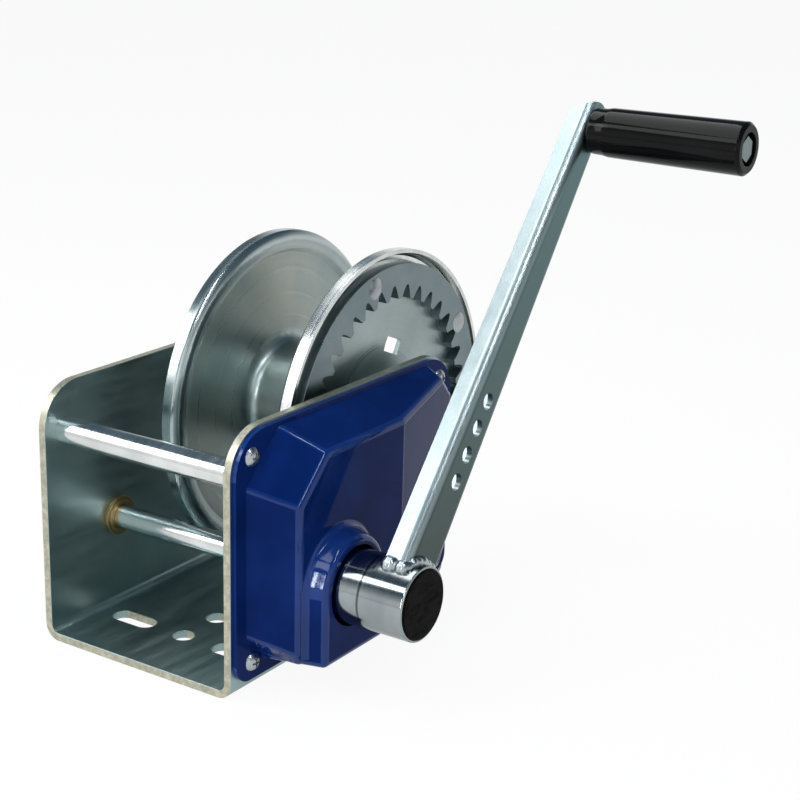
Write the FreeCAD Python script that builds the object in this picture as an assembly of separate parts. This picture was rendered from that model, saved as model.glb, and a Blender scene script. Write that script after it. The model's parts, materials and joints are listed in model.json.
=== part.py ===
import FreeCAD, Part
import math
import os

# Hand brake winch: a bent sheet frame carries a rope drum on a fixed axle, driven by a
# two-stage gear train behind a moulded cover and turned by a welded crank with a free grip.
# Frame of the part: X along the drum's axis towards the crank, Y from front to rear, Z up,
# origin in the middle of the base's underside. All sizes are millimetres.

Vector = FreeCAD.Vector

# How far a cutter runs past a face, and how near two values count as one
past = 1.0
tiny = 0.01

# Sheet frame
frame_width = 146.0
frame_length = 225.0
frame_height = 162.0
sheet = 5.0
bend_radius = 5.0
plate_corner = 28.0

# Holes in the base
base_hole_radius = 7.0
slot_length = 32.0
slot_offset = 40.0
base_row_inset = 44.0
centre_hole_inset = 76.0

# Front tie rod between the side plates
tie_radius = 8.5
tie_spigot_radius = 6.0
tie_inset = 17.0
tie_drop = 30.0
rivet_head_height = 3.5
rivet_head_radius = 9.5

# Crank shaft and its bushes
crank_inset = 61.0
crank_height = 63.6
shaft_radius = 7.5
bush_wall = 2.5
bush_flange_radius = 12.5
bush_flange = 3.0
bush_step = 1.0
bush_step_wall = 2.5
bush_collar = 2.0
bush_collar_wall = 3.0
running_gap = 0.06

# Gear train
counter_angle = 17.8
drum_angle = 39.7
pressure_angle = 25.0
ring_teeth = 36
pinion_teeth = 10
drum_module = 4.5
crank_gear_teeth = 16
counter_gear_teeth = 44
crank_module = 2.5
backlash = 0.35
crank_backlash = 0.245
tooth_least = 0.002
pinion_root = 1.3
gear_root = 1.25
ring_tip_cut = 1.0
ring_space = 5.2
gear_width = 9.0
gear_lift = 3.5
pinion_lift = 2.5
pinion_overlap = 1.0
counter_shaft_radius = 11.0
counter_shaft_beyond = 3.0

# Drum
flange_radius = 108.5
drum_far_space = 30.9
drum_near_space = 9.3
flange_sheet = 3.0
rim_width = 11.3
rim_nose_radius = 101.0
rim_roll = 4.0
rim_lip = 2.5
flat_outer_radius = 94.0
flat_inner_radius = 75.0
disc_recess = 3.6
disc_cone = 3.4
barrel_radius = 36.0
barrel_wall = 4.0
barrel_fillet = 8.0
cone_land = 3.0
axle_radius = 10.0
axle_spigot_radius = 8.0
drum_hub_radius = 15.0
drum_end_gap = 1.0
ring_plate_radius = 100.0
ring_plate = 6.9
ring_stand = 2.2
ring_rivets = 5
ring_rivet_circle = 91.0
ring_rivet_radius = 7.0
ring_rivet_shank = 4.0
ring_rivet_height = 2.0
ring_rivet_phase = 31.0
rivet_clearance = 0.5
rope_hole_length = 16.5
rope_hole_width = 10.0
rope_hole_circle = 45.6
rope_hole_angle = 71.3
rope_hole_turn = -22.5
axle_nut_radius = 14.0
axle_nut_height = 9.0
axle_thread_beyond = 2.5
axle_washer_radius = 18.0
axle_washer = 2.5

# Cover
cover_flange = 3.0
cover_wall = 3.0
cover_inset = 1.6
cover_depth = 31.3
boss_depth = 44.2
cover_corner = 26.0
cover_bottom = 9.5
cover_low_corner = 12.0
cover_front = 10.7
front_draft = 0.47
block_top_drop = 4.0
top_draft = 0.46
block_bottom = 20.5
block_rear_inset = 13.0
rear_draft = 0.18
front_slope = 30.0
slope_draft = 0.14
foot_run = 16.0
foot_run_draft = 0.46
foot_rise = 16.4
foot_rise_draft = 0.30
rear_foot = 15.0
rear_foot_draft = 0.18
rear_slope = 17.0
crease_inset = 98.0
block_rear_depth = 9.0
block_round = 5.0
boss_radius = 29.5
boss_draft = 0.27
boss_round = 4.0
boss_cove = 3.0
screw_inset = 16.0
screw_bottom = 20.5
screw_radius = 3.0
screw_beyond = 2.0
screw_head_radius = 5.8
screw_head = 3.6
screw_cross = 6.0
screw_cross_width = 1.4
screw_cross_depth = 1.8
screw_pocket = 1.5
hub_opening_gap = 2.0

# Brake on the crank shaft
ratchet_radius = 26.0
ratchet_teeth = 14
ratchet_depth = 3.5
ratchet_width = 5.0
ratchet_lean = 2.0
friction_radius = 25.0
friction_disc = 2.5

# Crank
hub_radius = 22.5
hub_wall = 3.5
hub_tuck = 6.0
hub_web = 8.0
hub_beyond = 8.6
hub_chamfer = 0.6
arm_angle = 38.2
crank_radius = 312.0
arm_clearance = 22.4
arm_depth = 14.8
arm_sheet = 3.5
arm_bend = 7.0
arm_foot_width = 36.8
arm_grip_width = 23.2
arm_foot_from = 15.0
arm_tip_beyond = 13.2
arm_tip_bow = 4.5
arm_tip_slant = 6.5
past_arm = 5.0
weld_radius = 4.0
weld_spread = 3.6
weld_tuck = 1.0
arm_hole_radius = 5.2
arm_holes = 4
arm_hole_first = 74.5
arm_hole_pitch = 17.4
cap_radius = 21.3
cap_head = 1.0
cap_plug = 6.0
grip_gap = 1.0
grip_length = 101.0
grip_start_radius = 14.1
grip_end_radius = 16.1
grip_pin_radius = 5.0
grip_rivet_radius = 6.5
grip_rivet_head = 3.0
grip_rivet_neck = 1.2
grip_rivet_bevel = 1.2
grip_start_round = 1.0
grip_collar = 7.0
grip_collar_rise = 0.2
grip_swell_end = 12.0
grip_swell = 1.0
grip_end_round = 2.0
grip_recess_radius = 10.0
grip_recess = 7.0
grip_bolt_radius = 8.0
grip_bolt_seat = 0.3
grip_bolt_shy = 1.2

os.makedirs("parts", exist_ok=True)

half_width = frame_width / 2
half_length = frame_length / 2
plate_inner = half_width - sheet
tie_height = frame_height - tie_drop
drum_left = drum_far_space - plate_inner
drum_right = plate_inner - drum_near_space
block_top = frame_height - block_top_drop
block_rear = frame_length - block_rear_inset
crease = frame_length - crease_inset
arm_inner = half_width + boss_depth + arm_clearance


def from_front(distance):
    return distance - half_length


def save(name, shape):
    shape = shape.removeSplitter() if shape.ShapeType != "Compound" else shape
    shape.exportStep("parts/" + name + ".step")
    print(name, len(shape.Solids), round(shape.Volume / 1000, 2), shape.isValid())


def rod(x_from, x_to, radius, y, z):
    return Part.makeCylinder(radius, x_to - x_from, Vector(x_from, y, z), Vector(1, 0, 0))


def tube(x_from, x_to, outer, inner, y, z):
    return rod(x_from, x_to, outer, y, z).cut(rod(x_from, x_to, inner, y, z))


def turned(profile, y, z):
    """A ring of (x, radius) points turned about the X line through y, z."""
    points = [Vector(x, y + radius, z) for x, radius in profile]
    face = Part.Face(Part.makePolygon(points + points[:1]))
    return face.revolve(Vector(0, y, z), Vector(1, 0, 0), 360)


def around(y, z, radius, angle):
    turn = math.radians(angle)
    return y + radius * math.cos(turn), z + radius * math.sin(turn)


def plate_blank(x_from, thickness, points, corners):
    """A plate standing in the YZ plane, with its listed corners rounded."""
    outline = Part.makePolygon([Vector(x_from, y, z) for y, z in points + points[:1]])
    solid = Part.Face(outline).extrude(Vector(thickness, 0, 0))
    for (y, z), radius in corners:
        edges = [e for e in solid.Edges if all(
            abs(v.Y - y) < tiny and abs(v.Z - z) < tiny for v in e.Vertexes)]
        solid = solid.makeFillet(radius, edges)
    return solid


crank_y = from_front(crank_inset)
crank_z = crank_height
first_distance = crank_module * (crank_gear_teeth + counter_gear_teeth) / 2
second_distance = drum_module * (ring_teeth - pinion_teeth) / 2
counter_y, counter_z = around(crank_y, crank_z, first_distance, counter_angle)
drum_y, drum_z = around(counter_y, counter_z, second_distance, drum_angle)
tie_y = from_front(tie_inset)
screw_places = [
    (from_front(screw_inset), frame_height - screw_inset),
    (from_front(frame_length - screw_inset), frame_height - screw_inset),
    (from_front(screw_inset), screw_bottom),
    (from_front(frame_length - screw_inset), screw_bottom),
]
bush_radius = shaft_radius + bush_wall
counter_bush_radius = counter_shaft_radius + bush_wall


def base_holes():
    cutters = []
    for side in (-1, 1):
        row = side * (half_length - base_row_inset)
        for x in (-slot_offset, slot_offset):
            run = slot_length / 2 - base_hole_radius
            box = Part.makeBox(2 * run, 2 * base_hole_radius, 3 * sheet,
                               Vector(x - run, row - base_hole_radius, -sheet))
            cutters.append(box)
            for end in (x - run, x + run):
                cutters.append(Part.makeCylinder(base_hole_radius, 3 * sheet, Vector(end, row, -sheet)))
        for y in (row, side * (half_length - centre_hole_inset)):
            cutters.append(Part.makeCylinder(base_hole_radius, 3 * sheet, Vector(0, y, -sheet)))
    return cutters


def make_frame():
    outer = Part.makeBox(frame_width, frame_length, frame_height, Vector(-half_width, -half_length, 0))
    low_edges = [e for e in outer.Edges if abs(e.CenterOfMass.z) < tiny and abs(e.CenterOfMass.y) < tiny]
    outer = outer.makeFillet(bend_radius + sheet, low_edges)
    inner = Part.makeBox(frame_width - 2 * sheet, frame_length, frame_height,
                         Vector(-plate_inner, -half_length, sheet))
    low_edges = [e for e in inner.Edges
                 if abs(e.CenterOfMass.z - sheet) < tiny and abs(e.CenterOfMass.y) < tiny]
    inner = inner.makeFillet(bend_radius, low_edges)
    frame = outer.cut(inner)
    corners = [e for e in frame.Edges
               if abs(e.CenterOfMass.z - frame_height) < tiny
               and abs(abs(e.CenterOfMass.y) - half_length) < tiny]
    frame = frame.makeFillet(plate_corner, corners)
    cutters = base_holes()
    for x_from in (-half_width - past, plate_inner - past):
        x_to = x_from + sheet + 2 * past
        cutters.append(rod(x_from, x_to, tie_spigot_radius, tie_y, tie_height))
        cutters.append(rod(x_from, x_to, bush_radius, crank_y, crank_z))
        cutters.append(rod(x_from, x_to, axle_spigot_radius, drum_y, drum_z))
    near_plate = (plate_inner - past, half_width + past)
    cutters.append(rod(*near_plate, counter_bush_radius, counter_y, counter_z))
    for y, z in screw_places:
        cutters.append(rod(*near_plate, screw_radius, y, z))
    for cutter in cutters:
        frame = frame.cut(cutter)
    return frame


def dome(x, side, radius, height, y, z):
    """A low round head standing on a face at x."""
    ball = (radius ** 2 + height ** 2) / (2 * height)
    sphere = Part.makeSphere(ball, Vector(x + side * (height - ball), y, z))
    end = x + side * (height + past)
    return sphere.common(rod(min(x, end), max(x, end), radius + past, y, z))


def make_tie_rod():
    body = rod(-plate_inner, plate_inner, tie_radius, tie_y, tie_height)
    for side in (-1, 1):
        near = side * plate_inner
        far = side * half_width
        spigot = rod(min(near, far), max(near, far), tie_spigot_radius, tie_y, tie_height)
        body = body.fuse(spigot)
    # Riveted over outside the far plate, flush under the cover.
    return body.fuse(dome(-half_width, -1, rivet_head_radius, rivet_head_height, tie_y, tie_height))


def make_bush(side, y, z, inner, outer):
    """A flanged bush pressed into a side plate, its flange on the plate's inside."""
    face = side * plate_inner
    inside = face - side * bush_flange
    outside = side * half_width
    sleeve = tube(min(inside, outside), max(inside, outside), outer, inner + running_gap, y, z)
    flange = tube(min(inside, face), max(inside, face), bush_flange_radius, inner + running_gap, y, z)
    end = inside - side * bush_step
    step = tube(min(end, inside), max(end, inside),
                bush_flange_radius - bush_step_wall, inner + running_gap, y, z)
    return sleeve.fuse(flange).fuse(step)


def involute(angle):
    return math.tan(angle) - angle


def tooth_half_angle(teeth, pitch_radius, base_radius, radius, play):
    at_pitch = involute(math.acos(base_radius / pitch_radius))
    here = involute(math.acos(min(1.0, base_radius / radius)))
    return math.pi / (2 * teeth) + play / (2 * pitch_radius) + at_pitch - here


def gear_outline(teeth, module, tip_radius, root_radius, play, phase):
    """Points of one gear outline: a list of teeth, each as (angle, radius) flank points."""
    pitch_radius = teeth * module / 2
    base_radius = pitch_radius * math.cos(math.radians(pressure_angle))
    low = max(base_radius, root_radius)
    levels = [low, (low + tip_radius) / 2, tip_radius]
    halves = [max(tooth_least, tooth_half_angle(teeth, pitch_radius, base_radius, r, play))
              for r in levels]
    rows = []
    for number in range(teeth):
        middle = phase + 2 * math.pi * number / teeth
        rows.append([(middle - h, r) for h, r in zip(halves, levels)]
                    + [(middle + h, r) for h, r in reversed(list(zip(halves, levels)))])
    return rows, root_radius


def gear_face(x, y, z, teeth, module, tip_radius, root_radius, play, phase):
    rows, root = gear_outline(teeth, module, tip_radius, root_radius, play, phase)

    def place(angle, radius):
        return Vector(x, y + radius * math.cos(angle), z + radius * math.sin(angle))

    edges = []
    for number, row in enumerate(rows):
        rise = [place(a, r) for a, r in row]
        following = rows[(number + 1) % teeth]
        extra = 2 * math.pi if number == teeth - 1 else 0
        foot_out = place(row[5][0], root)
        foot_in = place(following[0][0] + extra, root)
        if row[0][1] - root > tiny:
            edges.append(Part.LineSegment(place(row[0][0], root), rise[0]).toShape())
        edges.append(Part.Arc(rise[0], rise[1], rise[2]).toShape())
        middle = (row[2][0] + row[3][0]) / 2
        edges.append(Part.Arc(rise[2], place(middle, row[2][1]), rise[3]).toShape())
        edges.append(Part.Arc(rise[3], rise[4], rise[5]).toShape())
        if row[5][1] - root > tiny:
            edges.append(Part.LineSegment(rise[5], foot_out).toShape())
        valley = (row[5][0] + following[0][0] + extra) / 2
        edges.append(Part.Arc(foot_out, place(valley, root), foot_in).toShape())
    return Part.Face(Part.Wire(edges))


first_line = math.radians(counter_angle)
second_line = math.radians(drum_angle)
ring_pitch = ring_teeth * drum_module / 2
pinion_pitch = pinion_teeth * drum_module / 2
crank_gear_pitch = crank_gear_teeth * crank_module / 2
counter_gear_pitch = counter_gear_teeth * crank_module / 2
gear_x = half_width + gear_lift
ring_face = drum_right + ring_stand
ring_back = ring_face - ring_plate
pinion_x = ring_back + pinion_lift


def make_ring_gear():
    plate = rod(ring_back, ring_face, ring_plate_radius, drum_y, drum_z)
    # Each tooth space is a widened tooth of an outer gear, and one of them faces the pinion.
    space = gear_face(ring_back - past, drum_y, drum_z, ring_teeth, drum_module,
                      ring_pitch + ring_space, ring_pitch - drum_module + ring_tip_cut, backlash,
                      second_line + math.pi)
    plate = plate.cut(space.extrude(Vector(ring_plate + 2 * past, 0, 0)))
    for number in range(ring_rivets):
        y, z = around(drum_y, drum_z, ring_rivet_circle, ring_rivet_phase + 360 * number / ring_rivets)
        plate = plate.cut(rod(ring_back - past, ring_face + past, ring_rivet_shank, y, z))
    return plate


def make_ring_rivets():
    rivets = []
    back = ring_back - flange_sheet
    for number in range(ring_rivets):
        y, z = around(drum_y, drum_z, ring_rivet_circle, ring_rivet_phase + 360 * number / ring_rivets)
        shank = rod(back, ring_face, ring_rivet_shank, y, z)
        rivets.append(shank.fuse(dome(ring_face, 1, ring_rivet_radius, ring_rivet_height, y, z)))
    return Part.makeCompound(rivets)


barrel_left = drum_left + rim_width - disc_recess + disc_cone
barrel_right = drum_right - rim_width + disc_recess - disc_cone


def rope_slot():
    """Cutter through the near flange and the barrel's flare, where the rope's end leaves."""
    y, z = around(drum_y, drum_z, rope_hole_circle, rope_hole_angle)
    x_from = barrel_right - barrel_fillet
    slot = Part.makeBox(barrel_fillet + 2 * flange_sheet, rope_hole_length, rope_hole_width,
                        Vector(x_from, y - rope_hole_length / 2, z - rope_hole_width / 2))
    slot.rotate(Vector(0, y, z), Vector(1, 0, 0), rope_hole_turn)
    return slot


def make_flange(side):
    """A pressed drum flange: flat disc, cone to the barrel, rolled rim open to the outside."""
    free_edge = drum_right if side > 0 else drum_left
    nose = free_edge - side * rim_width
    disc = nose + side * disc_recess
    cone = disc - side * disc_cone
    t = flange_sheet
    cone_radius = barrel_radius + barrel_fillet + cone_land
    # The rolled nose is drawn in shares of its own size, first its rope side, then its inside.
    roll = side * rim_roll
    profile = [
        (cone, drum_hub_radius), (cone, cone_radius), (disc, flat_inner_radius),
        (disc, flat_outer_radius), (nose + roll / 8, rim_nose_radius - rim_roll),
        (nose, rim_nose_radius), (nose + roll / 5, rim_nose_radius + rim_roll),
        (nose + roll * 0.75, flange_radius - rim_roll / 6), (nose + roll * 1.1, flange_radius),
        (free_edge, flange_radius), (free_edge, flange_radius - rim_lip),
        (nose + roll * 1.25, flange_radius - t), (nose + roll * 0.85, rim_nose_radius + rim_roll * 0.6),
        (nose + roll * 0.8, rim_nose_radius), (disc + side * t, flat_outer_radius + rim_roll * 0.4),
        (disc + side * t, flat_inner_radius), (cone + side * t, cone_radius),
        (cone + side * t, drum_hub_radius),
    ]
    flange = turned(profile, drum_y, drum_z)
    if side > 0:
        flange = flange.cut(rope_slot())
        for number in range(ring_rivets):
            y, z = around(drum_y, drum_z, ring_rivet_circle,
                          ring_rivet_phase + 360 * number / ring_rivets)
            flange = flange.cut(rod(disc - past, disc + t + past, ring_rivet_shank, y, z))
    return flange


def make_barrel():
    outer = barrel_radius
    inner = barrel_radius - barrel_wall
    steps = 4
    profile = [(barrel_left, inner)]
    for step in range(steps + 1):
        turn = math.pi / 2 * step / steps
        profile.append((barrel_left + barrel_fillet * (1 - math.cos(turn)),
                        outer + barrel_fillet * (1 - math.sin(turn))))
    for step in range(steps + 1):
        turn = math.pi / 2 * step / steps
        profile.append((barrel_right - barrel_fillet * (1 - math.sin(turn)),
                        outer + barrel_fillet * (1 - math.cos(turn))))
    profile.append((barrel_right, inner))
    return turned(profile, drum_y, drum_z).cut(rope_slot())


def make_axle():
    """Shouldered between the side plates, riveted flush under the cover, threaded at the far end."""
    middle = rod(-plate_inner, plate_inner, axle_radius, drum_y, drum_z)
    threaded_end = -half_width - axle_washer - axle_nut_height - axle_thread_beyond
    return middle.fuse(rod(threaded_end, half_width, axle_spigot_radius, drum_y, drum_z))


def hexagon(x_from, x_to, radius, y, z):
    points = [Vector(x_from, *around(y, z, radius, 60 * n + 30)) for n in range(7)]
    return Part.Face(Part.makePolygon(points)).extrude(Vector(x_to - x_from, 0, 0))


def drafted(x_from, outline_from, x_to, outline_to):
    """A block between two like outlines, with drafted sides."""
    low = [Vector(x_from, from_front(y), z) for y, z in outline_from]
    high = [Vector(x_to, from_front(y), z) for y, z in outline_to]
    return Part.makeLoft([Part.makePolygon(ends + ends[:1]) for ends in (low, high)], True, True)


def block_outline(inset, depth):
    """Outline of the cover's block at a depth above the flange, from front and up."""
    rise = depth - cover_flange
    front = cover_front + front_draft * rise + inset
    top = block_top - top_draft * rise - inset
    bottom = block_bottom + inset
    rear = block_rear - rear_draft * rise - inset
    # A wall set in by some distance shortens each leg of a 45 degree bevel by this much.
    trim = (2 - math.sqrt(2)) * inset
    slope = front_slope - slope_draft * rise - trim
    run = foot_run - foot_run_draft * rise - trim
    up = foot_rise - foot_rise_draft * rise - trim
    foot = rear_foot - rear_foot_draft * rise - trim
    back = rear_slope - trim
    return [
        (front, bottom + up), (front, top - slope), (front + slope, top), (rear - back, top),
        (rear, top - back), (rear, bottom + foot), (rear - foot, bottom), (front + run, bottom),
    ]


def block_solid(inset, depth_from, depth_to):
    """The cover's main block, its outer face falling back towards the plate behind the crease."""
    block = drafted(half_width + depth_from, block_outline(inset, depth_from),
                    half_width + depth_to, block_outline(inset, depth_to))
    face = half_width + depth_to
    fall = (cover_depth - block_rear_depth) / (frame_length - crease)
    rear = frame_length + cover_depth
    rear_x = face - fall * (rear - crease)
    beyond = face + cover_depth
    wedge = [Vector(face, from_front(crease), -past), Vector(rear_x, from_front(rear), -past),
             Vector(beyond, from_front(rear), -past), Vector(beyond, from_front(crease), -past)]
    wedge = Part.Face(Part.makePolygon(wedge + wedge[:1])).extrude(Vector(0, 0, frame_height + 2 * past))
    return block.cut(wedge)


def arch(x, radius, bottom):
    """Outline of the boss: half a circle about the crank's axis on two straight legs."""
    front = Vector(x, crank_y - radius, crank_z)
    rear = Vector(x, crank_y + radius, crank_z)
    front_foot = Vector(x, crank_y - radius, bottom)
    rear_foot = Vector(x, crank_y + radius, bottom)
    return Part.Wire([
        Part.LineSegment(front_foot, front).toShape(),
        Part.Arc(front, Vector(x, crank_y, crank_z + radius), rear).toShape(),
        Part.LineSegment(rear, rear_foot).toShape(),
        Part.LineSegment(rear_foot, front_foot).toShape(),
    ])


def boss_solid(inset, depth_from, depth_to):
    """The deeper part of the cover round the crank hub, its sides drafted."""
    wires = []
    for depth in (depth_from, depth_to):
        radius = boss_radius + boss_draft * (boss_depth - depth) - inset
        wires.append(arch(half_width + depth, radius, block_bottom + inset))
    return Part.makeLoft(wires, True, True)


def boss_foot():
    """The cove where the boss rises from the block, over its top and down both sides."""
    foot = boss_radius + boss_draft * (boss_depth - cover_depth)
    face = half_width + cover_depth

    def place(x, radius):
        return Vector(x, crank_y - radius, crank_z)

    sunk = place(face - past, foot - boss_cove)
    under = place(face - past, foot + boss_cove)
    low = place(face, foot + boss_cove)
    middle = place(face + boss_cove * 0.3, foot + boss_cove * 0.3)
    high = place(face + boss_cove, foot - boss_draft * boss_cove)
    inside = place(face + boss_cove, foot - boss_cove)
    section = Part.Face(Part.Wire([
        Part.LineSegment(sunk, under).toShape(), Part.LineSegment(under, low).toShape(),
        Part.Arc(low, middle, high).toShape(), Part.LineSegment(high, inside).toShape(),
        Part.LineSegment(inside, sunk).toShape(),
    ]))
    over = section.revolve(Vector(0, crank_y, crank_z), Vector(1, 0, 0), -180)
    front_leg = section.extrude(Vector(0, 0, block_bottom + block_round - crank_z))
    rear_leg = front_leg.mirror(Vector(0, crank_y, 0), Vector(0, 1, 0))
    return [over, front_leg, rear_leg]


def rounded(solid, radius, keep_x):
    """Rounds every edge of a block except those that lie at or below keep_x."""
    edges = [e for e in solid.Edges if max(v.X for v in e.Vertexes) > keep_x + tiny]
    return solid.makeFillet(radius, edges)


def make_cover():
    left = cover_inset
    right = frame_length - cover_inset
    top = frame_height - cover_inset
    outline = [(from_front(y), z) for y, z in [
        (left, cover_bottom), (left, top), (right, top), (right, cover_bottom)]]
    flange = plate_blank(half_width, cover_flange, outline, [
        (outline[0], cover_low_corner), (outline[1], cover_corner),
        (outline[2], cover_corner), (outline[3], cover_low_corner)])
    block = rounded(block_solid(0.0, 0.0, cover_depth), block_round, half_width)
    boss = rounded(boss_solid(0.0, 0.0, boss_depth), boss_round, half_width)
    shell = flange.fuse(block).fuse(boss)
    for piece in boss_foot():
        shell = shell.fuse(piece)
    shell = shell.cut(block_solid(cover_wall, -past, cover_depth - cover_wall))
    shell = shell.cut(boss_solid(cover_wall, -past, boss_depth - cover_wall))
    opening = hub_radius + hub_opening_gap
    shell = shell.cut(rod(half_width, half_width + boss_depth + past, opening, crank_y, crank_z))
    for y, z in screw_places:
        shell = shell.cut(rod(half_width + cover_flange, half_width + cover_depth,
                              screw_head_radius + screw_pocket, y, z))
        shell = shell.cut(rod(half_width - past, half_width + cover_depth, screw_radius, y, z))
    return shell


def make_screw(y, z):
    """A low round head with a cross recess."""
    head_from = half_width + cover_flange
    shank = rod(plate_inner - screw_beyond, head_from, screw_radius, y, z)
    screw = shank.fuse(dome(head_from, 1, screw_head_radius, screw_head, y, z))
    recess_from = head_from + screw_head - screw_cross_depth
    for wide, tall in ((screw_cross, screw_cross_width), (screw_cross_width, screw_cross)):
        screw = screw.cut(Part.makeBox(screw_cross_depth + past, wide, tall,
                                       Vector(recess_from, y - wide / 2, z - tall / 2)))
    return screw


def crank_point(along, across, x):
    turn = math.radians(arm_angle)
    y = crank_y + along * math.sin(turn) - across * math.cos(turn)
    z = crank_z + along * math.cos(turn) + across * math.sin(turn)
    return Vector(x, y, z)


def arm_half_width(along):
    """The arm tapers evenly from its foot to the grip."""
    share = (along - arm_foot_from) / (crank_radius - arm_foot_from)
    return (arm_foot_width + (arm_grip_width - arm_foot_width) * share) / 2


def arm_blank(inset, x_from, x_to, bend):
    """The arm's tapered outline, its tip bowed, its two long outer edges bent round."""
    tip = crank_radius + arm_tip_beyond
    foot_half = arm_half_width(arm_foot_from) - inset
    tip_half = arm_half_width(tip) - inset
    bowed = tip + arm_tip_bow - inset
    corners = [crank_point(arm_foot_from, foot_half, x_from), crank_point(tip - inset, tip_half, x_from),
               crank_point(tip - inset, -tip_half, x_from), crank_point(arm_foot_from, -foot_half, x_from)]
    edges = [Part.LineSegment(corners[0], corners[1]).toShape(),
             Part.Arc(corners[1], crank_point(bowed, 0, x_from), corners[2]).toShape(),
             Part.LineSegment(corners[2], corners[3]).toShape(),
             Part.LineSegment(corners[3], corners[0]).toShape()]
    blank = Part.Face(Part.Wire(edges)).extrude(Vector(x_to - x_from, 0, 0))
    long_edges = [e for e in blank.Edges
                  if all(abs(v.X - x_to) < tiny for v in e.Vertexes) and e.Length > crank_radius / 2]
    return blank.makeFillet(bend, long_edges)


grip_y = crank_point(crank_radius, 0, 0).y
grip_z = crank_point(crank_radius, 0, 0).z
arm_outer = arm_inner + arm_depth
hub_end = arm_outer + hub_beyond
grip_from = arm_outer + grip_gap
grip_to = grip_from + grip_length


def make_arm():
    """A folded channel, open towards the cover, its side walls cut at a slant at the tip."""
    channel = arm_blank(0.0, arm_inner, arm_outer, arm_bend)
    channel = channel.cut(arm_blank(arm_sheet, arm_inner - past_arm, arm_outer - arm_sheet,
                                    arm_bend - arm_sheet))
    wall_end = crank_radius + arm_tip_beyond
    beyond = wall_end + arm_tip_bow + past_arm
    web = arm_outer - arm_sheet
    reach = arm_foot_width
    slant = [crank_point(wall_end - arm_tip_slant, reach, arm_inner - tiny),
             crank_point(wall_end, reach, web), crank_point(beyond, reach, web),
             crank_point(beyond, reach, arm_inner - tiny)]
    cutter = Part.Face(Part.makePolygon(slant + slant[:1])).extrude(
        crank_point(0, -reach, 0) - crank_point(0, reach, 0))
    channel = channel.cut(cutter)
    through = (arm_inner - past_arm, arm_outer + past_arm)
    channel = channel.cut(rod(*through, hub_radius, crank_y, crank_z))
    for number in range(arm_holes):
        hole = crank_point(arm_hole_first + arm_hole_pitch * number, 0, web)
        channel = channel.cut(rod(*through, arm_hole_radius, hole.y, hole.z))
    return channel.cut(rod(*through, grip_pin_radius, grip_y, grip_z))


def make_weld():
    """One bead round the foot of the arm: along both side walls and over the outer face."""
    across = arm_half_width(arm_foot_from)
    foot = math.sqrt(hub_radius ** 2 - across ** 2)
    low = arm_outer - weld_tuck
    bead = turned([(low, hub_radius), (arm_outer + weld_spread, hub_radius),
                   (arm_outer, hub_radius + weld_spread), (low, hub_radius + weld_spread)],
                  crank_y, crank_z)
    beyond = 2 * hub_radius + 4 * weld_spread
    under = low - weld_tuck
    sector = [crank_point(0, 0, under), crank_point(foot * 2, across * 2, under),
              crank_point(beyond, 0, under), crank_point(foot * 2, -across * 2, under)]
    bead = bead.common(Part.Face(Part.makePolygon(sector + sector[:1])).extrude(
        Vector(2 * (weld_spread + weld_tuck), 0, 0)))
    high = arm_outer + weld_tuck
    for side in (-1, 1):
        start = crank_point(foot + weld_tuck, side * across, arm_inner)
        bead = bead.fuse(rod(arm_inner, high, weld_radius, start.y, start.z))
        bead = bead.fuse(Part.makeSphere(weld_radius, Vector(high, start.y, start.z)))
    bead = bead.cut(rod(arm_inner - past_arm, hub_end, hub_radius, crank_y, crank_z))
    bead = bead.cut(arm_blank(0.0, arm_inner, arm_outer, arm_bend))
    return bead


hub_start = half_width + cover_depth - hub_tuck


def make_hub():
    """The crank's sleeve, its outer end chamfered, with a web on the shaft at its inner end."""
    hub = turned([(hub_start, hub_radius - hub_wall), (hub_start, hub_radius),
                  (hub_end - hub_chamfer, hub_radius), (hub_end, hub_radius - hub_chamfer),
                  (hub_end, hub_radius - hub_wall)], crank_y, crank_z)
    web = tube(hub_start, hub_start + hub_web, hub_radius - hub_wall, shaft_radius, crank_y, crank_z)
    return hub.fuse(web)


def make_cap():
    plug = rod(hub_end - cap_plug, hub_end, hub_radius - hub_wall, crank_y, crank_z)
    head = turned([(hub_end, 0), (hub_end, cap_radius), (hub_end + cap_head, cap_radius - cap_head),
                   (hub_end + cap_head, 0)], crank_y, crank_z)
    return plug.fuse(head)


def make_grip():
    """A free-turning grip: a short collar, a long slow taper, a recess for the bolt's head."""
    bore = grip_pin_radius + running_gap
    start = grip_start_radius
    floor = grip_to - grip_recess
    profile = [(grip_from, bore), (grip_from, start - grip_start_round),
               (grip_from + grip_start_round, start),
               (grip_from + grip_collar, start + grip_collar_rise),
               (grip_from + grip_swell_end, start + grip_swell),
               (grip_to - grip_end_round, grip_end_radius),
               (grip_to, grip_end_radius - grip_end_round), (grip_to, grip_recess_radius),
               (floor, grip_recess_radius), (floor, bore)]
    return turned(profile, grip_y, grip_z)


def make_grip_pin():
    """Riveted inside the arm, a hexagon head in the grip's recess."""
    head_from = grip_to - grip_recess + grip_bolt_seat
    web = arm_outer - arm_sheet
    pin = rod(web, head_from, grip_pin_radius, grip_y, grip_z)
    head = hexagon(head_from, grip_to - grip_bolt_shy, grip_bolt_radius, grip_y, grip_z)
    # The head widens off the web, so that it clears the arm's inner bends.
    back = turned([(web, 0), (web, grip_pin_radius),
                   (web - grip_rivet_neck, grip_rivet_radius),
                   (web - grip_rivet_head + grip_rivet_bevel, grip_rivet_radius),
                   (web - grip_rivet_head, grip_rivet_radius - grip_rivet_bevel),
                   (web - grip_rivet_head, 0)], grip_y, grip_z)
    return pin.fuse(head).fuse(back)


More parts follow.
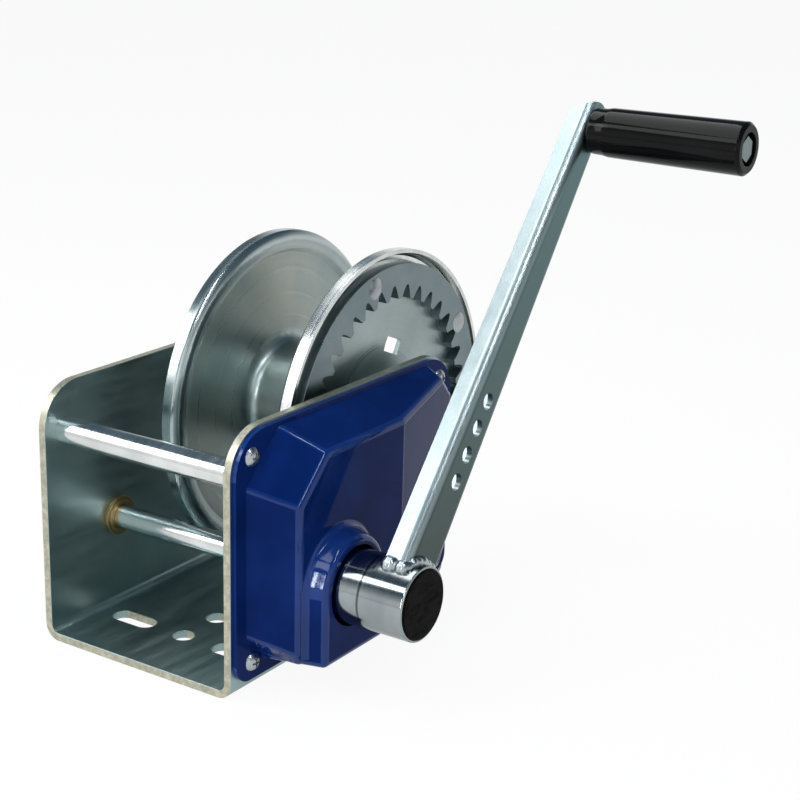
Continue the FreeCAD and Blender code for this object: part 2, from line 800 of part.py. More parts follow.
def make_ratchet(x_from):
    points = []
    for number in range(ratchet_teeth):
        angle = 360.0 * number / ratchet_teeth
        points.append(Vector(x_from, *around(crank_y, crank_z, ratchet_radius, angle)))
        root = ratchet_radius - ratchet_depth
        points.append(Vector(x_from, *around(crank_y, crank_z, root, angle + ratchet_lean)))
    wheel = Part.Face(Part.makePolygon(points + points[:1])).extrude(Vector(ratchet_width, 0, 0))
    return wheel.cut(rod(x_from - past, x_from + ratchet_width + past, shaft_radius, crank_y, crank_z))


save("frame", make_frame())
save("tie_rod", make_tie_rod())
save("shaft_bush_far", make_bush(-1, crank_y, crank_z, shaft_radius, bush_radius))
save("shaft_bush_near", make_bush(1, crank_y, crank_z, shaft_radius, bush_radius))

counter_bush = tube(plate_inner, half_width + bush_collar, counter_bush_radius,
                    counter_shaft_radius + running_gap, counter_y, counter_z)
collar = tube(half_width, half_width + bush_collar, counter_bush_radius + bush_collar_wall,
              counter_shaft_radius + running_gap, counter_y, counter_z)
save("counter_bush", counter_bush.fuse(collar))

save("drum_axle", make_axle())
washer_face = -half_width - axle_washer
save("axle_washer", tube(washer_face, -half_width, axle_washer_radius, axle_spigot_radius, drum_y, drum_z))
axle_nut = hexagon(washer_face - axle_nut_height, washer_face, axle_nut_radius, drum_y, drum_z)
axle_nut = axle_nut.cut(rod(washer_face - axle_nut_height, washer_face, axle_spigot_radius, drum_y, drum_z))
save("axle_nut", axle_nut)

save("drum_flange_far", make_flange(-1))
save("drum_flange_near", make_flange(1))
save("drum_barrel", make_barrel())
save("drum_hub", tube(-plate_inner + drum_end_gap, plate_inner - drum_end_gap, drum_hub_radius,
                      axle_radius + running_gap, drum_y, drum_z))
save("ring_gear", make_ring_gear())
save("ring_rivets", make_ring_rivets())

pinion_face = gear_face(pinion_x, counter_y, counter_z, pinion_teeth, drum_module,
                        pinion_pitch + drum_module, pinion_pitch - pinion_root * drum_module,
                        -backlash, second_line + math.pi)
pinion = pinion_face.extrude(Vector(ring_face - rivet_clearance - pinion_x, 0, 0))
counter_end = gear_x + gear_width + counter_shaft_beyond
counter_shaft = pinion.fuse(rod(ring_face - rivet_clearance, counter_end, counter_shaft_radius,
                                counter_y, counter_z))
save("counter_shaft", counter_shaft)
counter_gear = gear_face(gear_x, counter_y, counter_z, counter_gear_teeth, crank_module,
                         counter_gear_pitch + crank_module,
                         counter_gear_pitch - gear_root * crank_module,
                         -crank_backlash, first_line + math.pi)
counter_gear = counter_gear.extrude(Vector(gear_width, 0, 0))
counter_gear = counter_gear.cut(rod(gear_x - past, gear_x + gear_width + past, counter_shaft_radius,
                                    counter_y, counter_z))
save("counter_gear", counter_gear)

half_tooth = math.pi / crank_gear_teeth
pinion_from = gear_x - pinion_overlap
brake_x = gear_x + gear_width + pinion_overlap
crank_pinion = gear_face(pinion_from, crank_y, crank_z, crank_gear_teeth, crank_module,
                         crank_gear_pitch + crank_module, crank_gear_pitch - gear_root * crank_module,
                         -crank_backlash, first_line + half_tooth)
crank_pinion = crank_pinion.extrude(Vector(brake_x - pinion_from, 0, 0))
crank_pinion = crank_pinion.cut(rod(pinion_from - past, brake_x + past, shaft_radius, crank_y, crank_z))
save("crank_pinion", crank_pinion)

save("friction_disc_inner", tube(brake_x, brake_x + friction_disc, friction_radius - ratchet_depth,
                                 shaft_radius, crank_y, crank_z))
save("ratchet_wheel", make_ratchet(brake_x + friction_disc))
outer_disc_x = brake_x + friction_disc + ratchet_width
save("friction_disc_outer", tube(outer_disc_x, hub_start, friction_radius - ratchet_depth,
                                 shaft_radius, crank_y, crank_z))

save("cover", make_cover())
for number, (y, z) in enumerate(screw_places, 1):
    save("cover_screw_%d" % number, make_screw(y, z))

save("crank_shaft", rod(-half_width, hub_start + hub_web, shaft_radius, crank_y, crank_z))
save("crank_hub", make_hub())
save("hub_cap", make_cap())
save("crank_arm", make_arm())
save("arm_weld", make_weld())
save("grip_pin", make_grip_pin())
save("grip", make_grip())
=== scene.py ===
import json
import math

import bmesh
import bpy
from mathutils import Matrix, Vector


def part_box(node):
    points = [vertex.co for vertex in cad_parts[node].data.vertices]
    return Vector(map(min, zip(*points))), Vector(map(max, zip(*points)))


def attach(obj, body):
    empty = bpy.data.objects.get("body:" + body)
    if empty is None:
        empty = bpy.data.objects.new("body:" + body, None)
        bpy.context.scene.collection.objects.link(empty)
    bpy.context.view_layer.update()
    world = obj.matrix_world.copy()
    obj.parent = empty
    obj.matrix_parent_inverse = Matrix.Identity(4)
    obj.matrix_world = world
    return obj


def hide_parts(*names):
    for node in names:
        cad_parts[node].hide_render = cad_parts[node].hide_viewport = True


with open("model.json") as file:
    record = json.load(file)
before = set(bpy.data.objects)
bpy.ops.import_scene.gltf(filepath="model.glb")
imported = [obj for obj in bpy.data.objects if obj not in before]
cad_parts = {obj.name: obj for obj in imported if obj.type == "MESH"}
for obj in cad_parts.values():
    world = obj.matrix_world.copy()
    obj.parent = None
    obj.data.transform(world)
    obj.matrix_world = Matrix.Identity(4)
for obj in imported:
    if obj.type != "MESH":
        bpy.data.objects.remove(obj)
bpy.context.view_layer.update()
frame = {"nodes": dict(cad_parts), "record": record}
print("frame loaded")

# places taken from the frame, in metres
mm = 0.001
drumAxis = sum(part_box("drum_hub"), Vector()) / 2
crankAxis = sum(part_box("crank_shaft"), Vector()) / 2
gripAxis = sum(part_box("grip"), Vector()) / 2
armLow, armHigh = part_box("crank_arm")

# camera, at the photograph's angle
cameraValues = {
    "place": (0.6520, -0.8219, 0.4737),
    "azimuth": 33.16,
    "elevation": 17.59,
    "roll": 1.55,
    "lens": 79.03,
    "shift": (-0.0087, 0.0008),
}


def placeCamera(values):
    turn = math.radians(values["azimuth"])
    tilt = math.radians(values["elevation"])
    roll = math.radians(values["roll"])
    back = Vector((math.sin(turn) * math.cos(tilt), -math.cos(turn) * math.cos(tilt), math.sin(tilt)))
    level = (-back).cross(Vector((0, 0, 1))).normalized()
    upright = level.cross(-back)
    right = level * math.cos(roll) + upright * math.sin(roll)
    up = upright * math.cos(roll) - level * math.sin(roll)
    data = bpy.data.cameras.new("camera")
    data.lens = values["lens"]
    data.sensor_width = 36
    data.shift_x, data.shift_y = values["shift"]
    camera = bpy.data.objects.new("camera", data)
    facing = Matrix((right, up, back)).transposed().to_4x4()
    camera.matrix_world = Matrix.Translation(values["place"]) @ facing
    bpy.context.scene.collection.objects.link(camera)
    bpy.context.scene.camera = camera


placeCamera(cameraValues)
bpy.context.scene.view_settings.view_transform = "Standard"
print("camera placed")


# studio: a floor that is white to the camera, a sky that is white low down and darker above, soft boxes
studioValues = {
    "floorSize": 12.0,
    "floorColour": (0.80, 0.80, 0.80, 1),
    "floorWhite": 0.93,
    "inGloss": 0.60,
    "skyFill": (0.30, 0.33, 0.34, 1),
    "skyTop": (0.07, 0.12, 0.16, 1),
    "skyWhiteUntil": 0.16,
    "skyTopFrom": 0.50,
}
softBoxes = {
    "overheadFront": {"place": (-0.30, -1.05, 1.20), "aim": (0.05, 0.0, 0.10),
                      "size": (2.0, 0.34), "power": 9},
    "overheadRear": {"place": (-0.35, -0.10, 1.45), "aim": (0.05, 0.0, 0.10),
                     "size": (2.0, 0.50), "power": 11},
    "leftWindow": {"place": (-1.30, -0.90, 0.95), "aim": (0.0, 0.0, 0.15),
                   "size": (1.1, 0.9), "power": 12},
    "cameraSide": {"place": (1.35, -1.25, 0.85), "aim": (0.08, 0.0, 0.15),
                   "size": (0.7, 0.9), "power": 2},
    "frontStrip": {"place": (0.10, -1.75, 0.55), "aim": (0.08, 0.0, 0.15),
                   "size": (0.05, 0.9), "power": 6},
    "topStrip": {"place": (0.75, -0.30, 1.30), "aim": (0.10, 0.0, 0.15),
                 "size": (0.05, 1.0), "power": 5},
}


def backgroundShare(nodes, links, strength, inGloss):
    # strength for rays from the camera and through glass, inGloss of it for those off gloss
    path = nodes.new("ShaderNodeLightPath")
    gloss = nodes.new("ShaderNodeMath")
    gloss.operation = "MULTIPLY"
    links.new(path.outputs["Is Glossy Ray"], gloss.inputs[0])
    gloss.inputs[1].default_value = inGloss
    first = nodes.new("ShaderNodeMath")
    first.operation = "MAXIMUM"
    links.new(path.outputs["Is Camera Ray"], first.inputs[0])
    links.new(gloss.outputs[0], first.inputs[1])
    second = nodes.new("ShaderNodeMath")
    second.operation = "MAXIMUM"
    links.new(first.outputs[0], second.inputs[0])
    links.new(path.outputs["Is Transmission Ray"], second.inputs[1])
    share = nodes.new("ShaderNodeMath")
    share.operation = "MULTIPLY"
    links.new(second.outputs[0], share.inputs[0])
    share.inputs[1].default_value = strength
    return share.outputs[0]


def makeFloor(values):
    bm = bmesh.new()
    bmesh.ops.create_grid(bm, x_segments=1, y_segments=1, size=values["floorSize"] / 2)
    mesh = bpy.data.meshes.new("studioFloor")
    bm.to_mesh(mesh)
    bm.free()
    floor = bpy.data.objects.new("studioFloor", mesh)
    bpy.context.scene.collection.objects.link(floor)
    paint = bpy.data.materials.new("floorWhite")
    paint.use_nodes = True
    nodes, links = paint.node_tree.nodes, paint.node_tree.links
    nodes.clear()
    output = nodes.new("ShaderNodeOutputMaterial")
    matt = nodes.new("ShaderNodeBsdfDiffuse")
    matt.inputs["Color"].default_value = values["floorColour"]
    white = nodes.new("ShaderNodeEmission")
    white.inputs["Strength"].default_value = 1.0
    mix = nodes.new("ShaderNodeMixShader")
    links.new(backgroundShare(nodes, links, values["floorWhite"], values["inGloss"]), mix.inputs["Fac"])
    links.new(matt.outputs[0], mix.inputs[1])
    links.new(white.outputs[0], mix.inputs[2])
    links.new(mix.outputs[0], output.inputs["Surface"])
    mesh.materials.append(paint)


def makeSky(values):
    world = bpy.data.worlds.new("studioSky")
    bpy.context.scene.world = world
    world.use_nodes = True
    nodes, links = world.node_tree.nodes, world.node_tree.links
    nodes.clear()
    output = nodes.new("ShaderNodeOutputWorld")
    fill = nodes.new("ShaderNodeBackground")
    fill.inputs["Color"].default_value = values["skyFill"]
    wall = nodes.new("ShaderNodeBackground")
    coords = nodes.new("ShaderNodeTexCoord")
    parts = nodes.new("ShaderNodeSeparateXYZ")
    links.new(coords.outputs["Generated"], parts.inputs[0])
    rise = nodes.new("ShaderNodeMapRange")
    rise.inputs["From Min"].default_value = values["skyWhiteUntil"]
    rise.inputs["From Max"].default_value = values["skyTopFrom"]
    links.new(parts.outputs["Z"], rise.inputs["Value"])
    shade = nodes.new("ShaderNodeMix")
    shade.data_type = "RGBA"
    shade.inputs["A"].default_value = (1, 1, 1, 1)
    shade.inputs["B"].default_value = values["skyTop"]
    links.new(rise.outputs["Result"], shade.inputs["Factor"])
    links.new(shade.outputs["Result"], wall.inputs["Color"])
    mix = nodes.new("ShaderNodeMixShader")
    links.new(backgroundShare(nodes, links, 1.0, 1.0), mix.inputs["Fac"])
    links.new(fill.outputs[0], mix.inputs[1])
    links.new(wall.outputs[0], mix.inputs[2])
    links.new(mix.outputs[0], output.inputs["Surface"])


def makeSoftBox(name, values):
    data = bpy.data.lights.new(name, "AREA")
    data.shape = "RECTANGLE"
    data.size, data.size_y = values["size"]
    data.energy = values["power"]
    lamp = bpy.data.objects.new(name, data)
    aim = Vector(values["aim"]) - Vector(values["place"])
    facing = aim.to_track_quat("-Z", "Y").to_matrix().to_4x4()
    lamp.matrix_world = Matrix.Translation(values["place"]) @ facing
    bpy.context.scene.collection.objects.link(lamp)


makeFloor(studioValues)
makeSky(studioValues)
for name, values in softBoxes.items():
    makeSoftBox(name, values)
print("studio lit")


# small helpers for node materials, in each object's own coordinates and normals
def newFinish(name, values):
    paint = bpy.data.materials.new(name)
    paint.use_nodes = True
    tree = paint.node_tree
    shader = tree.nodes["Principled BSDF"]
    shader.inputs["Base Color"].default_value = (*values["colour"], 1)
    shader.inputs["Metallic"].default_value = values.get("metallic", 0.0)
    shader.inputs["Roughness"].default_value = values["roughness"]
    for socket, number in values.get("sockets", {}).items():
        shader.inputs[socket].default_value = number
    coords = tree.nodes.new("ShaderNodeTexCoord")
    return paint, tree, shader, coords


def mapped(tree, source, place=(0, 0, 0), scale=(1, 1, 1)):
    # centres a pattern on a place, then stretches it
    centre = tree.nodes.new("ShaderNodeMapping")
    centre.inputs["Location"].default_value = [-number for number in place]
    tree.links.new(source, centre.inputs["Vector"])
    stretched = tree.nodes.new("ShaderNodeMapping")
    stretched.inputs["Scale"].default_value = scale
    tree.links.new(centre.outputs[0], stretched.inputs["Vector"])
    return stretched.outputs[0]


def noise(tree, source, scale, detail, rough=0.55):
    node = tree.nodes.new("ShaderNodeTexNoise")
    node.inputs["Scale"].default_value = scale
    node.inputs["Detail"].default_value = detail
    node.inputs["Roughness"].default_value = rough
    tree.links.new(source, node.inputs["Vector"])
    return node.outputs["Fac"]


def separated(tree, source):
    node = tree.nodes.new("ShaderNodeSeparateXYZ")
    tree.links.new(source, node.inputs[0])
    return node.outputs


def sums(tree, kind, *terms):
    node = tree.nodes.new("ShaderNodeMath")
    node.operation = kind
    for socket, term in zip(node.inputs, terms):
        if isinstance(term, (int, float)):
            socket.default_value = term
        else:
            tree.links.new(term, socket)
    return node.outputs[0]


def spread(tree, source, low, high, fromLow=0.3, fromHigh=0.7):
    node = tree.nodes.new("ShaderNodeMapRange")
    node.inputs["From Min"].default_value = fromLow
    node.inputs["From Max"].default_value = fromHigh
    node.inputs["To Min"].default_value = low
    node.inputs["To Max"].default_value = high
    tree.links.new(source, node.inputs["Value"])
    return node.outputs["Result"]


def blendColours(tree, share, low, high):
    node = tree.nodes.new("ShaderNodeMix")
    node.data_type = "RGBA"
    for socket, colour in ((node.inputs["A"], low), (node.inputs["B"], high)):
        if hasattr(colour, "__len__"):
            socket.default_value = (*colour, 1)
        else:
            tree.links.new(colour, socket)
    tree.links.new(share, node.inputs["Factor"])
    return node.outputs["Result"]


def blendNumbers(tree, share, low, high):
    node = tree.nodes.new("ShaderNodeMix")
    for socket, number in ((node.inputs["A"], low), (node.inputs["B"], high)):
        if isinstance(number, (int, float)):
            socket.default_value = number
        else:
            tree.links.new(number, socket)
    tree.links.new(share, node.inputs["Factor"])
    return node.outputs["Result"]


def raised(tree, shader, height, strength, distance):
    node = tree.nodes.new("ShaderNodeBump")
    node.inputs["Strength"].default_value = strength
    node.inputs["Distance"].default_value = distance
    tree.links.new(height, node.inputs["Height"])
    tree.links.new(node.outputs[0], shader.inputs["Normal"])


def mixedSum(tree, first, firstShare, second, secondShare):
    return sums(tree, "ADD", sums(tree, "MULTIPLY", first, firstShare),
                sums(tree, "MULTIPLY", second, secondShare))


def axisCoords(tree, source, centre):
    # distance from an axis along X, the place along it, and both as a pattern's place
    parts = separated(tree, mapped(tree, source, place=centre))
    squares = [sums(tree, "MULTIPLY", parts[axis], parts[axis]) for axis in ("Y", "Z")]
    radius = sums(tree, "SQRT", sums(tree, "ADD", *squares))
    join = tree.nodes.new("ShaderNodeCombineXYZ")
    tree.links.new(parts["X"], join.inputs[0])
    tree.links.new(radius, join.inputs[1])
    return radius, parts["X"], join.outputs[0]


# zinc plated sheet: soft clouds, long streaks and a fine grain
zincPattern = {
    "cloudScale": 22,
    "cloudShare": 0.85,
    "streakScale": 160,
    "streakStretch": (1, 0.12, 1),
    "grainScale": 1400,
    "speckleScale": 620,
    "tone": (0.36, 0.66),
    "wornScale": 260,
    "worn": (0.40, 0.62),
    "baseTop": 0.0105,
    "sideways": 0.35,
    "swell": 3.0,
    "grain": 1.0,
    "bump": 0.10,
    "bumpHeight": 0.0002,
}
zincValues = {
    "colour": (0.275, 0.385, 0.395),
    "cloud": (0.36, 0.465, 0.465),
    "edge": (0.36, 0.36, 0.29),
    "edgeWorn": (0.56, 0.54, 0.42),
    "metallic": 1.0,
    "roughness": 0.36,
    "roughSpread": (0.30, 0.44),
    "edgeRoughness": 0.42,
}
armValues = {
    "colour": (0.29, 0.365, 0.38),
    "cloud": (0.42, 0.49, 0.50),
    "speckle": 0.45,
    "grain": 0.10,
    "swell": 0.3,
    # the arm's web, the face looking along X, is painted darker: a painted shade, deepest at the foot and
    # easing towards the tip
    "webShadeFrom": 0.80,
    "webShadeFull": 0.98,
    "webShadeFoot": (0.050, 0.068, 0.062),
    "webShadeTip": (0.130, 0.225, 0.235),
    "metallic": 1.0,
    "roughness": 0.30,
    "roughSpread": (0.29, 0.33),
}


def zincSheet(name, values, cutEdges=False, webShadeSpan=None):
    # cutEdges: worn metal on faces that don't look along X and are upright or lie above the base
    # the last argument: the lowest and highest point of the arm; between them the face looking along X is
    # painted darker, a painted shade that is deepest at the lowest point and eases towards the highest
    paint, tree, shader, coords = newFinish(name, values)
    place = coords.outputs["Object"]
    pattern = zincPattern
    clouds = noise(tree, place, pattern["cloudScale"], detail=5)
    streakPlace = mapped(tree, place, scale=pattern["streakStretch"])
    streaks = noise(tree, streakPlace, pattern["streakScale"], detail=3)
    grain = noise(tree, place, pattern["grainScale"], detail=2)
    mottle = clouds
    if "speckle" in values:
        specks = noise(tree, place, pattern["speckleScale"], detail=3, rough=0.7)
        mottle = mixedSum(tree, clouds, 1 - values["speckle"], specks, values["speckle"])
    uneven = mixedSum(tree, mottle, pattern["cloudShare"], streaks, 1 - pattern["cloudShare"])
    tone = spread(tree, uneven, 0, 1, *pattern["tone"])
    colour = blendColours(tree, tone, values["colour"], values["cloud"])
    rough = spread(tree, streaks, *values["roughSpread"])
    normal = separated(tree, coords.outputs["Normal"])
    spot = separated(tree, place)
    # painted shade on the arm's web, set by how squarely a face looks along X and how high it stands
    if webShadeSpan:
        webShadeShare = spread(tree, normal["X"], 0, 1, values["webShadeFrom"], values["webShadeFull"])
        along = spread(tree, spot["Z"], 0, 1, *webShadeSpan)
        face = blendColours(tree, along, values["webShadeFoot"], values["webShadeTip"])
        colour = blendColours(tree, webShadeShare, colour, face)
    if cutEdges:
        across = sums(tree, "LESS_THAN", sums(tree, "ABSOLUTE", normal["X"]), pattern["sideways"])
        high = sums(tree, "GREATER_THAN", spot["Z"], pattern["baseTop"])
        upright = sums(tree, "LESS_THAN", sums(tree, "ABSOLUTE", normal["Z"]), pattern["sideways"])
        edge = sums(tree, "MULTIPLY", across, sums(tree, "MAXIMUM", high, upright))
        rubbed = noise(tree, place, pattern["wornScale"], detail=5, rough=0.7)
        worn = spread(tree, rubbed, 0, 1, *pattern["worn"])
        bare = blendColours(tree, worn, values["edge"], values["edgeWorn"])
        colour = blendColours(tree, edge, colour, bare)
        rough = blendNumbers(tree, edge, rough, values["edgeRoughness"])
    tree.links.new(colour, shader.inputs["Base Color"])
    tree.links.new(rough, shader.inputs["Roughness"])
    swell = values.get("swell", pattern["swell"])
    height = mixedSum(tree, clouds, swell, grain, values.get("grain", pattern["grain"]))
    raised(tree, shader, height, pattern["bump"], pattern["bumpHeight"])
    return paint


# ground or turned steel: fine rings round its axis, a little uneven
turnedPattern = {
    "ringScale": 900,
    "cloudScale": 45,
    "tone": (0.35, 0.68),
    "deep": 0.82,
    "seamDark": 0.35,
    "seamWidth": (0.0004, 0.0011),
    "bump": 0.06,
    "bumpHeight": 0.0001,
}
brightValues = {
    "colour": (0.72, 0.74, 0.73),
    "metallic": 1.0,
    "roughness": 0.14,
    "roughSpread": (0.10, 0.22),
}


def turnedSteel(name, values, centre):
    paint, tree, shader, coords = newFinish(name, values)
    pattern = turnedPattern
    _, along, ringPlace = axisCoords(tree, coords.outputs["Object"], centre)
    rings = noise(tree, ringPlace, pattern["ringScale"], detail=3)
    clouds = noise(tree, coords.outputs["Object"], pattern["cloudScale"], detail=4)
    tone = spread(tree, clouds, 0, 1, *pattern["tone"])
    deep = [channel * pattern["deep"] for channel in values["colour"]]
    colour = blendColours(tree, tone, deep, values["colour"])
    if "seam" in values:
        # a thin darker band round the tube at one place along it
        off = sums(tree, "ABSOLUTE", sums(tree, "SUBTRACT", along, values["seam"] - centre.x))
        band = spread(tree, off, 1, 0, *pattern["seamWidth"])
        colour = blendColours(tree, band, colour, [channel * pattern["seamDark"] for channel in deep])
    tree.links.new(colour, shader.inputs["Base Color"])
    tree.links.new(spread(tree, rings, *values["roughSpread"]), shader.inputs["Roughness"])
    raised(tree, shader, rings, pattern["bump"], pattern["bumpHeight"])
    return paint


# pressed zinc sheet with a paler rolled rim, partly burnished wear and partly a painted highlight
drumPattern = {
    "ringScale": 500,
    "cloudScale": 18,
    "tone": (0.36, 0.66),
    "wornScale": 70,
    "worn": (0.35, 0.60),
    "wornLeast": 0.55,
    "swell": 2.0,
    "bump": 0.08,
    "bumpHeight": 0.00015,
}
drumValues = {
    "colour": (0.30, 0.365, 0.36),
    "cloud": (0.38, 0.445, 0.44),
    # the rim colour: partly burnished wear, partly a painted highlight
    "rim": (0.80, 0.82, 0.80),
    "rimFrom": 0.0965,
    "rimUntil": 0.0995,
    "metallic": 1.0,
    "roughness": 0.33,
    "roughSpread": (0.26, 0.40),
    "rimRough": (0.16, 0.30),
}
# the far flange: the same zinc with its rim painted darker, a painted shade, and its clouds paler and
# warmer
farDrumShadedValues = {**drumValues, "rim": (0.40, 0.46, 0.47), "cloud": (0.43, 0.45, 0.41)}


def pressedDrum(name, values, centre):
    paint, tree, shader, coords = newFinish(name, values)
    place = coords.outputs["Object"]
    pattern = drumPattern
    radius, _, ringPlace = axisCoords(tree, place, centre)
    rings = noise(tree, ringPlace, pattern["ringScale"], detail=3)
    clouds = noise(tree, place, pattern["cloudScale"], detail=5)
    rim = spread(tree, radius, 0, 1, values["rimFrom"], values["rimUntil"])
    tone = spread(tree, clouds, 0, 1, *pattern["tone"])
    colour = blendColours(tree, tone, values["colour"], values["cloud"])
    wornRim = noise(tree, place, pattern["wornScale"], detail=6, rough=0.7)
    # the rim's pale colour, wear and painted highlight together, comes through in patches
    rimWearAndSheenShare = spread(tree, wornRim, pattern["wornLeast"], 1.0, *pattern["worn"])
    rimShare = sums(tree, "MULTIPLY", rim, rimWearAndSheenShare)
    tree.links.new(blendColours(tree, rimShare, colour, values["rim"]), shader.inputs["Base Color"])
    plain = spread(tree, rings, *values["roughSpread"])
    burnished = spread(tree, rings, *values["rimRough"])
    tree.links.new(blendNumbers(tree, rim, plain, burnished), shader.inputs["Roughness"])
    rimDents = sums(tree, "MULTIPLY", wornRim, rim)
    height = mixedSum(tree, rimDents, pattern["swell"], clouds, pattern["swell"])
    raised(tree, shader, height, pattern["bump"], pattern["bumpHeight"])
    return paint


# moulded plastic, scuffed in places
plasticPattern = {
    "cloudScale": 30,
    "tone": (0.40, 0.75),
    "scuffScale": 320,
    "scuffStretch": (1, 0.3, 1),
    "scuff": (0.45, 0.75),
    "scuffRough": (0.8, 1.8),
    "paler": 1.5,
    "palerLeast": 0.001,
    "swellScale": 55,
    "swell": 4.0,
    "grainScale": 900,
    "grain": 0.25,
    "bumpHeight": 0.0003,
}
plasticValues = {
    "blue": {"colour": (0.002, 0.013, 0.088), "roughness": 0.06,
             "sockets": {"Specular IOR Level": 0.055, "Specular Tint": (0.6, 0.7, 1.0, 1)}},
    # the cover's rounded edges: a paler blue than the flats, a painted highlight, and more specular
    "blueEdgeSheen": {"colour": (0.003, 0.020, 0.125), "roughness": 0.09,
                 "sockets": {"Specular IOR Level": 0.42, "Specular Tint": (0.75, 0.85, 1.0, 1)}},
    "black": {"colour": (0.003, 0.003, 0.003), "roughness": 0.08, "sockets": {"Specular IOR Level": 0.12}},
    "cap": {"colour": (0.002, 0.002, 0.002), "roughness": 0.50, "sockets": {"Specular IOR Level": 0.03}},
}


def mouldedPlastic(name, values, waves=0.05):
    paint, tree, shader, coords = newFinish(name, values)
    place = coords.outputs["Object"]
    pattern = plasticPattern
    clouds = noise(tree, place, pattern["cloudScale"], detail=4)
    scuffPlace = mapped(tree, place, scale=pattern["scuffStretch"])
    scuffs = noise(tree, scuffPlace, pattern["scuffScale"], detail=6, rough=0.75)
    low, high = [values["roughness"] * share for share in pattern["scuffRough"]]
    tree.links.new(spread(tree, scuffs, low, high, *pattern["scuff"]), shader.inputs["Roughness"])
    colour = values["colour"]
    paler = [channel * pattern["paler"] + pattern["palerLeast"] for channel in colour]
    tone = spread(tree, clouds, 0, 1, *pattern["tone"])
    tree.links.new(blendColours(tree, tone, colour, paler), shader.inputs["Base Color"])
    swell = noise(tree, place, pattern["swellScale"], detail=2)
    grain = noise(tree, place, pattern["grainScale"], detail=2)
    height = mixedSum(tree, swell, pattern["swell"], grain, pattern["grain"])
    raised(tree, shader, height, waves, pattern["bumpHeight"])
    return paint


def steelValues(colour, roughness, roughSpread, **more):
    return {"colour": colour, "metallic": 1.0, "roughness": roughness, "roughSpread": roughSpread, **more}


gearValues = steelValues((0.165, 0.220, 0.235), 0.33, (0.27, 0.42), cloud=(0.235, 0.285, 0.295))
bronzeValues = steelValues((0.36, 0.27, 0.13), 0.38, (0.32, 0.46))
rivetValues = steelValues((0.40, 0.43, 0.43), 0.30, (0.25, 0.40))
screwValues = steelValues((0.46, 0.50, 0.50), 0.28, (0.22, 0.36))
hubValues = steelValues((0.33, 0.37, 0.38), 0.12, (0.08, 0.14), seam=0.133)
pinValues = steelValues((0.24, 0.30, 0.31), 0.24, (0.18, 0.32))
weldValues = steelValues((0.60, 0.64, 0.65), 0.22, (0.15, 0.35), cloud=(0.30, 0.34, 0.36))
liningValues = {"colour": (0.045, 0.040, 0.036), "roughness": 0.8}

finishes = {
    "frameZinc": zincSheet("frameZinc", zincValues, cutEdges=True),
    "armZincShadedWeb": zincSheet("armZincShadedWeb", armValues, webShadeSpan=(armLow.z, armHigh.z)),
    "gearZinc": zincSheet("gearZinc", gearValues),
    "weldZinc": zincSheet("weldZinc", weldValues),
    "drumZinc": pressedDrum("drumZinc", drumValues, drumAxis),
    "drumFarShadedZinc": pressedDrum("drumFarShadedZinc", farDrumShadedValues, drumAxis),
    "pinSteel": turnedSteel("pinSteel", pinValues, gripAxis),
    "rodBright": turnedSteel("rodBright", brightValues, crankAxis),
    "tieBright": turnedSteel("tieBright", brightValues, sum(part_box("tie_rod"), Vector()) / 2),
    "hubBright": turnedSteel("hubBright", hubValues, crankAxis),
    "bushBronze": turnedSteel("bushBronze", bronzeValues, crankAxis),
    "rivetSteel": turnedSteel("rivetSteel", rivetValues, drumAxis),
    "screwZinc": turnedSteel("screwZinc", screwValues, gripAxis),
    "coverBlue": mouldedPlastic("coverBlue", plasticValues["blue"]),
    "coverEdgeSheen": mouldedPlastic("coverEdgeSheen", plasticValues["blueEdgeSheen"]),
    "gripBlack": mouldedPlastic("gripBlack", plasticValues["black"]),
    "capBlack": mouldedPlastic("capBlack", plasticValues["cap"], waves=0.01),
    "brakeLining": mouldedPlastic("brakeLining", liningValues),
}
nodeFinish = {
    "frame": "frameZinc", "tie_rod": "tieBright", "shaft_bush_far": "bushBronze",
    "shaft_bush_near": "bushBronze", "counter_bush": "bushBronze", "drum_axle": "rodBright",
    "axle_washer": "screwZinc", "axle_nut": "screwZinc", "drum_flange_far": "drumFarShadedZinc",
    "drum_flange_near": "drumZinc", "drum_barrel": "drumZinc", "drum_hub": "gearZinc",
    "ring_gear": "gearZinc", "ring_rivets": "rivetSteel", "counter_shaft": "gearZinc",
    "counter_gear": "gearZinc", "crank_pinion": "gearZinc", "friction_disc_inner": "brakeLining",
    "ratchet_wheel": "gearZinc", "friction_disc_outer": "brakeLining", "cover": "coverBlue",
    "cover_screw_1": "screwZinc", "cover_screw_2": "screwZinc", "cover_screw_3": "screwZinc",
    "cover_screw_4": "screwZinc", "crank_shaft": "rodBright", "crank_hub": "hubBright",
    "hub_cap": "capBlack", "crank_arm": "armZincShadedWeb", "arm_weld": "weldZinc", "grip_pin": "pinSteel",
    "grip": "gripBlack",
}
# the cover's rounded edges take the paler blue finish, a painted highlight along them
edgeSheenFinish = {"cover": "coverEdgeSheen"}
print("finishes ready")


